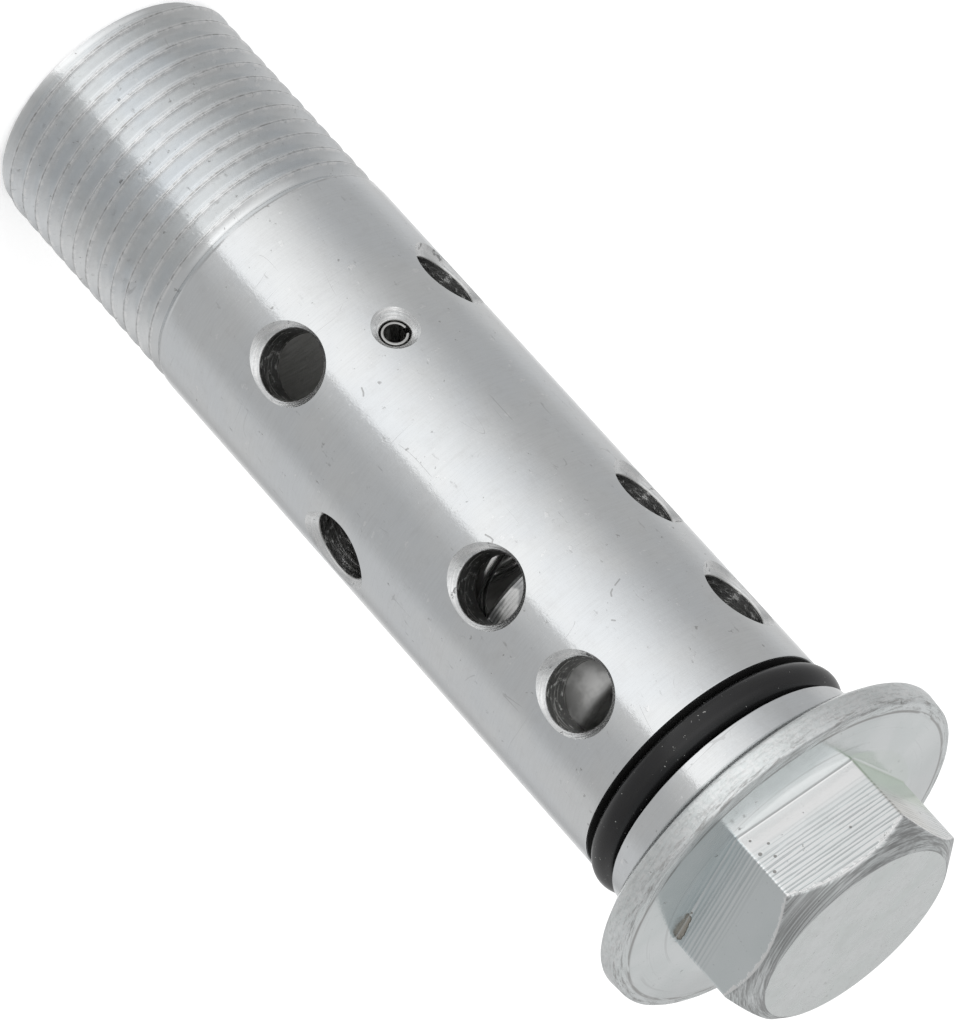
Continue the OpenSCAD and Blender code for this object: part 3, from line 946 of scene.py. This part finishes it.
def drills(ports, body):
    """One object that holds every hole's cutter at its place."""
    tools, uses = {}, []
    for height, turn, count, *sizes in hole_rows(ports):
        kind = tuple(sizes)
        if kind not in tools:
            tools[kind] = add_object("cutter", hole_cutter(*sizes, body))
        uses.append({"Cutter": tools[kind], "Height": height, "Turn": turn, "Count": count})
    mesh = grown_mesh("drills", hole_row_tree(), *uses)
    for tool in tools.values():
        bpy.data.objects.remove(tool)
    return add_object("drills", mesh)


SPRING_STEPS = 40  # lengths of the wire in each turn
WIRE_STEPS = 20  # faces around the wire
CLOSED_PITCH = 1.04  # rise of a closed turn, in thicknesses of the wire


def spring_tree(material):
    """Geometry nodes that wind a wire around Z, with closed ends and open turns between them."""
    sizes = {"Low": 0.0, "High": 0.1, "Wire": 0.001, "Coil": 0.01}
    t = Tree("wound_wire", {**sizes, "Open Turns": 5, "Closed Turns": 1})
    _, low, high, wire, coil, open_turns, closed = t.inputs
    total = open_turns + 2 * closed
    line = t.node("GeometryNodeCurvePrimitiveLine", mode="POINTS")
    wound = t.node("GeometryNodeResampleCurve", {"Curve": line, "Count": total * SPRING_STEPS + 1})
    turn = t.node("GeometryNodeSplineParameter") * total
    bottom = low + wire / 2
    top = high - wire / 2
    closed_pitch = wire * CLOSED_PITCH
    open_pitch = (top - bottom - 2 * closed * closed_pitch) / open_turns
    height = bottom + turn.least(closed) * closed_pitch
    height = height + (turn - closed).most(0.0).least(open_turns) * open_pitch
    height = height + (turn - closed - open_turns).most(0.0) * closed_pitch
    bearing, radius = turn * TURN, coil / 2
    spot = t.xyz(bearing.math("COSINE") * radius, bearing.math("SINE") * radius, height)
    moved = t.node("GeometryNodeSetPosition", {"Geometry": wound, "Position": spot})
    upright = t.node("GeometryNodeSetCurveNormal", {0: moved}, mode="Z_UP")
    tube = t.swept(upright, t.circle(WIRE_STEPS, wire / 2), True)
    return t.finish(t.node("GeometryNodeSetShadeSmooth", {0: tube}), material)


RING_STEPS = 240  # faces around the sealing ring, and around its cord
CORD_STEPS = 40
RING_WAVES = 220.0  # waves of its unevenness in a metre


def ring_tree(material):
    """Geometry nodes that sweep a round cord into a ring, a little uneven as moulded rubber is."""
    t = Tree("cord_ring", {"Height": 0.0, "Cord": 0.002, "Ring": 0.02, "Uneven": 0.00002})
    _, height, cord, ring, uneven = t.inputs
    tube = t.swept(t.circle(RING_STEPS, (ring - cord) / 2), t.circle(CORD_STEPS, cord / 2))
    wave = t.node("GeometryNodeInputPosition").noise(RING_WAVES)
    push = t.node("GeometryNodeInputNormal").vector("SCALE", {3: (0 - wave) * uneven})
    shift = push.vector("ADD", {1: t.xyz(0.0, 0.0, height)})
    moved = t.node("GeometryNodeSetPosition", {"Geometry": tube, "Offset": shift})
    return t.finish(t.node("GeometryNodeSetShadeSmooth", {0: moved}), material)


TURNED, HEADED, END, DRILLED, RIM = range(5)
ON_SURFACE = 0.02 * MM
# how far inside the bore's wall and outside its rim a hole's faces can lie
HOLE_DEPTH = 1 * MM
HOLE_MARGIN = 0.3 * MM


def read(collection, name, width=1, kind=float):
    """One property of all items of a mesh's collection, with a row for each item."""
    values = np.empty(len(collection) * width, dtype=kind)
    collection.foreach_get(name, values)
    return values.reshape(-1, width) if width > 1 else values


def unit(vectors):
    return vectors / np.maximum(np.linalg.norm(vectors, axis=-1, keepdims=True), 1e-12)


def beside(places, middle, axis):
    """How far along an axis places lie, and their offsets from it."""
    off = places - middle
    far = off @ axis
    return far, off - far[:, None] * axis


def finish_body(mesh, thread, body, ports):
    """Gives the cut body its regions, and exact normals on its cylinders and countersinks."""
    smooth_with_edges(mesh, 38)
    corners = read(mesh.vertices, "co", 3)[read(mesh.loops, "vertex_index", 1, int)]
    faces = np.repeat(np.arange(len(mesh.polygons)), read(mesh.polygons, "loop_total", 1, int))
    middles, flats = read(mesh.polygons, "center", 3), read(mesh.polygons, "normal", 3)
    normals = read(mesh.corner_normals, "vector", 3)
    held = np.zeros_like(corners)

    def aim(chosen, directions):
        exact = chosen[faces]
        normals[exact] = directions[exact]

    radial = unit(corners * (1, 1, 0))
    height, out = middles[:, 2], np.linalg.norm(middles[:, :2], axis=1)
    level = np.abs(flats[:, 2]) < 0.01
    inward = np.einsum("ij,ij->i", flats[:, :2], middles[:, :2]) < 0
    region = np.full(len(middles), TURNED)
    region[height > body.face - ON_SURFACE] = HEADED
    region[(height > head_end - ON_SURFACE) & (out < body.head_d / 2 - 0.1 * MM)] = END
    hollow = (out < body.bore_d / 2 + ON_SURFACE) & (inward | ~level)
    region[hollow & (height < body.groove_end) & (height > 0.01 * MM)] = DRILLED
    shank = level & (np.abs(out - body.shank_d / 2) < ON_SURFACE)
    aim(shank & (height > thread.run) & (height < body.shank_end), radial)
    aim(level & inward & (np.abs(out - body.bore_d / 2) < ON_SURFACE), -radial)
    for row_height, turn, count, _, rim_d, _ in hole_rows(ports):
        middle = np.array((0, 0, row_height))
        for heading in turn + np.arange(count) * TURN / count:
            axis = np.array((math.cos(heading), math.sin(heading), 0))
            far, aside = beside(middles, middle, axis)
            # from -1 for a face that looks at the hole's axis to 1 for one that looks away from it
            facing = np.einsum("ij,ij->i", unit(aside), flats)
            inside = (far > body.bore_d / 2 - HOLE_DEPTH) & (np.linalg.norm(aside, axis=1) < rim_d / 2 + HOLE_MARGIN)
            wall = inside & (facing < -0.99)
            cone = inside & (facing < -0.6) & (facing > -0.85) & ((flats @ axis) > 0.5)
            region[inside & (facing < -0.3)] = DRILLED
            region[cone] = RIM
            along, off = beside(corners, middle, axis)
            aim(wall, -unit(off))
            # the countersink's cone stands at 45 degrees
            aim(cone & (np.abs(facing + math.sqrt(0.5)) < 0.02), unit(axis - unit(off)))
            near = (wall | cone)[faces]
            side = off @ np.cross(axis, (0, 0, 1))
            held[near] = np.stack([side, off[:, 2], along], axis=-1)[near] / MM
    mesh.polygons.foreach_set("material_index", region)
    mesh.attributes.new(HOLE_PLACE, "FLOAT_VECTOR", "CORNER").data.foreach_set("vector", held.ravel())
    mesh.normals_split_custom_set(normals.tolist())


PIN_STEPS = 40  # faces around the roll pin


def pin_mesh(small):
    """The roll pin's strip around Z: a loop of rows up its outside and down its inside, open along the slot."""
    half, full = small.pin_length / 2, small.pin_d / 2
    tip = full - small.pin_tip_cut / 2
    outside = [(tip, -half), (full, -half + small.pin_taper), (full, half - small.pin_taper), (tip, half)]
    inside = [(full - small.pin_wall, height) for _, height in reversed(outside)]
    places = []
    for wall, height in outside + inside:
        open_half = math.asin(small.pin_slot / 2 / wall)
        for bearing in np.linspace(open_half, TURN - open_half, PIN_STEPS + 1) + small.slot_turn:
            places.append((wall * math.cos(bearing), wall * math.sin(bearing), height))
    index = np.arange(len(places)).reshape(-1, PIN_STEPS + 1)
    above = np.roll(index, -1, axis=0)
    faces = np.stack([index[:, :-1], index[:, 1:], above[:, 1:], above[:, :-1]], axis=-1).reshape(-1, 4).tolist()
    for edge, way in ((0, 1), (-1, -1)):
        rows = index[:, edge].tolist()
        faces += [[rows[k], rows[k + 1], rows[-k - 2], rows[-k - 1]][::way] for k in range(len(outside) - 1)]
    mesh = bpy.data.meshes.new("pin")
    mesh.from_pydata(places, [], faces)
    return outward(mesh)


class BOLT_OT_body(bpy.types.Operator):
    """Make the plated body with its thread, ports, groove, flange and hexagon"""

    bl_idname = "filter_bolt.body"
    bl_label = "Bolt Body"

    def execute(self, context):
        settings = context.scene.filter_bolt
        thread, body, ports = settings.thread, settings.body, settings.ports
        turns = body_turns(body)
        blank = ring_mesh("blank", turns, body_rows(turns, thread, body))
        drill = drills(ports, body)
        mesh = modified_mesh(blank, "BOOLEAN", operation="DIFFERENCE", solver="MANIFOLD", object=drill)
        bpy.data.objects.remove(drill)
        finish_body(mesh, thread, body, ports)
        makers = (turned_finish, headed_finish, end_finish, drilled_finish, rim_finish)
        materials = [make(settings.colours) for make in makers]
        place_mesh("dressed_body", mesh, "bolt", "bolt_body", materials)
        return {"FINISHED"}


class BOLT_OT_ring(bpy.types.Operator):
    """Make the sealing ring in its groove"""

    bl_idname = "filter_bolt.ring"
    bl_label = "Sealing Ring"

    def execute(self, context):
        settings = context.scene.filter_bolt
        rubber = rubber_finish(settings.colours)
        height = (ring_box[0][2] + ring_box[1][2]) / 2
        values = {"Height": height, "Cord": settings.small.cord_d, "Ring": settings.small.ring_d}
        mesh = grown_mesh("ring", ring_tree(rubber), values)
        place_mesh("sealing_ring", mesh, "bolt", "o_ring", [rubber])
        return {"FINISHED"}


class BOLT_OT_pin(bpy.types.Operator):
    """Make the slotted roll pin across the bore"""

    bl_idname = "filter_bolt.pin"
    bl_label = "Roll Pin"

    def execute(self, context):
        settings = context.scene.filter_bolt
        mesh = pin_mesh(settings.small)
        mesh.transform(
            Matrix.Translation((0, 0, settings.ports.pin))
            @ Matrix.Rotation(settings.ports.pin_turn, 4, "Z")
            @ Matrix.Rotation(math.pi / 2, 4, "Y")
        )
        limit = math.radians(40)
        mesh = modified_mesh(mesh, "BEVEL", width=0.05 * MM, segments=2, limit_method="ANGLE", angle_limit=limit)
        smooth_with_edges(mesh, 40)
        steel = drawn_finish("pin_steel", settings.colours.pin, 8.0, 0.25, 0.4)
        place_mesh("slotted_pin", mesh, "bolt", "roll_pin", [steel])
        return {"FINISHED"}


class BOLT_OT_valve(bpy.types.Operator):
    """Make the sliding bypass valve"""

    bl_idname = "filter_bolt.valve"
    bl_label = "Bypass Valve"

    def execute(self, context):
        settings = context.scene.filter_bolt
        small = settings.small
        low, top = valve_box[0][2], valve_box[1][2]
        face = low + small.valve_length
        side, inner, stop = small.valve_d / 2, small.pocket_d / 2, small.stop_d / 2
        path = [
            (0, face - small.pocket_drop, 0),
            (inner, face - small.pocket_drop, 0.3 * MM),
            (inner, low, 0.1 * MM),
            (side - small.valve_chamfer, low, 0.05 * MM),
            (side, low + small.valve_chamfer, 0),
        ]
        for step in range(1, int(RIDGE_TOP / RIDGE_PITCH * RIDGE_STEPS)):
            dip = (0.5 - 0.5 * math.cos(step * TURN / RIDGE_STEPS)) ** 2
            height = small.valve_chamfer + step * RIDGE_PITCH / RIDGE_STEPS * MM
            path.append((side - RIDGE_DEPTH * MM * dip, low + height, 0))
        path += [(side, face, small.valve_round), (stop, face, 0.25 * MM), (stop, top, 0.2 * MM), (0, top, 0)]
        mesh = ring_mesh("valve", np.linspace(0, TURN, VALVE_COLUMNS + 1), rounded_path(path, 6))
        smooth_with_edges(mesh, 40)
        steel = valve_finish(settings.colours)
        place_mesh("sliding_valve", mesh, "valve", "relief_valve", [steel])
        return {"FINISHED"}


class BOLT_OT_spring(bpy.types.Operator):
    """Make the valve's coil spring"""

    bl_idname = "filter_bolt.spring"
    bl_label = "Spring"

    def execute(self, context):
        settings = context.scene.filter_bolt
        small = settings.small
        steel = drawn_finish("spring_steel", settings.colours.spring, 5.0, 0.15, 0.3)
        low, high = spring_box[0][2], spring_box[1][2]
        values = {"Low": low, "High": high, "Wire": small.wire_d, "Coil": small.coil_d}
        values |= {"Open Turns": small.open_turns, "Closed Turns": small.closed_turns}
        mesh = grown_mesh("spring", spring_tree(steel), values)
        piece = place_mesh("coil_spring", mesh, "bolt", "relief_spring", [steel])
        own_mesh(piece)
        return {"FINISHED"}


# soft boxes around the bolt: azimuths in degrees where each begins, is full, starts to fall and ends,
# sines of the elevations where its light starts to fall and ends, and the light that it adds to the wall
SOFT_BOXES = (
    (168, 255, 267.2, 268.8, 0.5, 0.95, 0.56),
    (267.2, 268.8, 268.8, 298, 0.2, 0.8, 0.13),
    (331, 353, 383, 408, 0.2, 0.8, 0.125),
    (400, 425, 432, 462, -0.3, 0.25, 0.34),
    (420, 450, 470, 505, -0.1, 0.6, 0.15),
    (353, 393, 453, 480, 0.35, 0.1, 0.15),
    (160, 190, 250, 300, 0.35, 0.1, 0.18),
)
WALL_LEVEL = 0.44
OVERHEAD_LEVEL = 0.36
AMBIENT = 0.8
FLOOR_GLOW = 0.35
# the soft lamp's width, its place and the place that it faces, in metres
LAMP_WIDTH = 0.6
LAMP_PLACE = (-0.35, -0.25, 0.7)
LAMP_AIM = (0, 0, 0.04)


def studio_level(across, up):
    """Light that the metal mirrors: a grey wall with soft boxes, by azimuth in degrees and sine of elevation."""
    wall = up.ramp(0.95, 0.4) * up.ramp(-0.98, -0.75)
    total = WALL_LEVEL * wall + OVERHEAD_LEVEL * (1 - wall)
    for begin, full, fall, end, high, top, light in SOFT_BOXES:
        middle = (begin + end) / 2
        turned = (across - middle + 540.0).math("MODULO", 360.0) + (middle - 180.0)
        total = total + turned.ramp(begin, full) * turned.ramp(end, fall) * up.ramp(top, high) * light
    return total


def make_world():
    """White to the camera and through glass, the studio to glossy rays, and plain soft light to the rest."""
    world = bpy.data.worlds.new("studio")
    bpy.context.scene.world = world
    world.use_nodes = True
    world.cycles.sampling_method = "NONE"
    world.node_tree.nodes.clear()
    w = Wire(world.node_tree)
    x, y, z = w.node("ShaderNodeTexCoord").split()
    rays = w.node("ShaderNodeLightPath")
    camera, glossy, through = rays.outputs("Is Camera Ray", "Is Glossy Ray", "Is Transmission Ray")
    plain = camera.most(through)
    level = studio_level(y.math("ARCTAN2", x) * math.degrees(1), z)
    strength = plain + glossy * level + (1 - plain.most(glossy)) * AMBIENT
    w.node("ShaderNodeBackground", {"Color": tone(1), "Strength": strength}).end("ShaderNodeOutputWorld")


class BOLT_OT_stage(bpy.types.Operator):
    """Make the pale floor, the soft light and the camera"""

    bl_idname = "filter_bolt.stage"
    bl_label = "Stage"

    def execute(self, context):
        stage = context.scene.filter_bolt.stage
        context.scene.view_settings.view_transform = "Standard"
        make_world()
        self.make_floor(stage)
        self.make_lamp(stage)
        self.make_camera(stage)
        return {"FINISHED"}

    def make_floor(self, stage):
        f = Finish("pale_floor")
        diffuse = f.node("ShaderNodeBsdfDiffuse", {"Color": tone(0.93)})
        seen = f.node("ShaderNodeLightPath", output="Is Camera Ray")
        glow = f.node("ShaderNodeEmission", {"Strength": seen * FLOOR_GLOW})
        f.node("ShaderNodeAddShader", {0: diffuse, 1: glow}).end("ShaderNodeOutputMaterial")
        work = bmesh.new()
        bmesh.ops.create_circle(work, cap_ends=True, segments=96, radius=stage.floor_radius)
        mesh = bpy.data.meshes.new("floor")
        work.to_mesh(mesh)
        work.free()
        mesh.materials.append(f.material)
        floor = add_object("floor", mesh)
        floor.visible_glossy = False

    def make_lamp(self, stage):
        light = bpy.data.lights.new("soft_lamp", "AREA")
        light.shape = "DISK"
        light.size = LAMP_WIDTH
        light.energy = stage.lamp_energy
        lamp = add_object("soft_lamp", light)
        lamp.location = LAMP_PLACE
        lamp.rotation_euler = (Vector(LAMP_AIM) - Vector(LAMP_PLACE)).to_track_quat("-Z", "Y").to_euler()
        lamp.visible_glossy = False

    def make_camera(self, stage):
        back = Vector((
            math.cos(stage.elevation) * math.cos(stage.azimuth),
            math.cos(stage.elevation) * math.sin(stage.azimuth),
            math.sin(stage.elevation),
        ))
        level = Vector((-math.sin(stage.azimuth), math.cos(stage.azimuth), 0))
        upright = back.cross(level)
        across = math.cos(stage.roll) * level + math.sin(stage.roll) * upright
        up = math.cos(stage.roll) * upright - math.sin(stage.roll) * level
        data = bpy.data.cameras.new("camera")
        data.lens = stage.lens
        data.sensor_width = 36
        data.clip_start = 0.01
        data.clip_end = 10
        camera = add_object("camera", data)
        turned = Matrix((across, up, back)).transposed().to_4x4()
        place = Vector((0, 0, stage.aim)) - across * stage.side - up * stage.rise + back * stage.distance
        camera.matrix_world = Matrix.Translation(place) @ turned
        bpy.context.scene.camera = camera


PIECE_OPERATORS = (BOLT_OT_stage, BOLT_OT_body, BOLT_OT_ring, BOLT_OT_pin, BOLT_OT_valve, BOLT_OT_spring)


class BOLT_PT_panel(bpy.types.Panel):
    """Lists the pieces that can be made"""

    bl_idname = "BOLT_PT_panel"
    bl_label = "Oil Filter Bolt"
    bl_space_type = "VIEW_3D"
    bl_region_type = "UI"
    bl_category = "Filter Bolt"

    def draw(self, context):
        for operator in PIECE_OPERATORS:
            self.layout.operator(operator.bl_idname)


SETTINGS = (ThreadSizes, BodySizes, PortSizes, SmallSizes, Colours, StageSizes, FilterBolt)
CLASSES = (*SETTINGS, *PIECE_OPERATORS, BOLT_PT_panel)


def register():
    for item in CLASSES:
        bpy.utils.register_class(item)
    bpy.types.Scene.filter_bolt = PointerProperty(type=FilterBolt)


def unregister():
    del bpy.types.Scene.filter_bolt
    for item in reversed(CLASSES):
        bpy.utils.unregister_class(item)


def main():
    """Makes every piece and the stage."""
    register()
    for operator in PIECE_OPERATORS:
        group, name = operator.bl_idname.split(".")
        getattr(getattr(bpy.ops, group), name)()


if __name__ == "__main__":
    main()
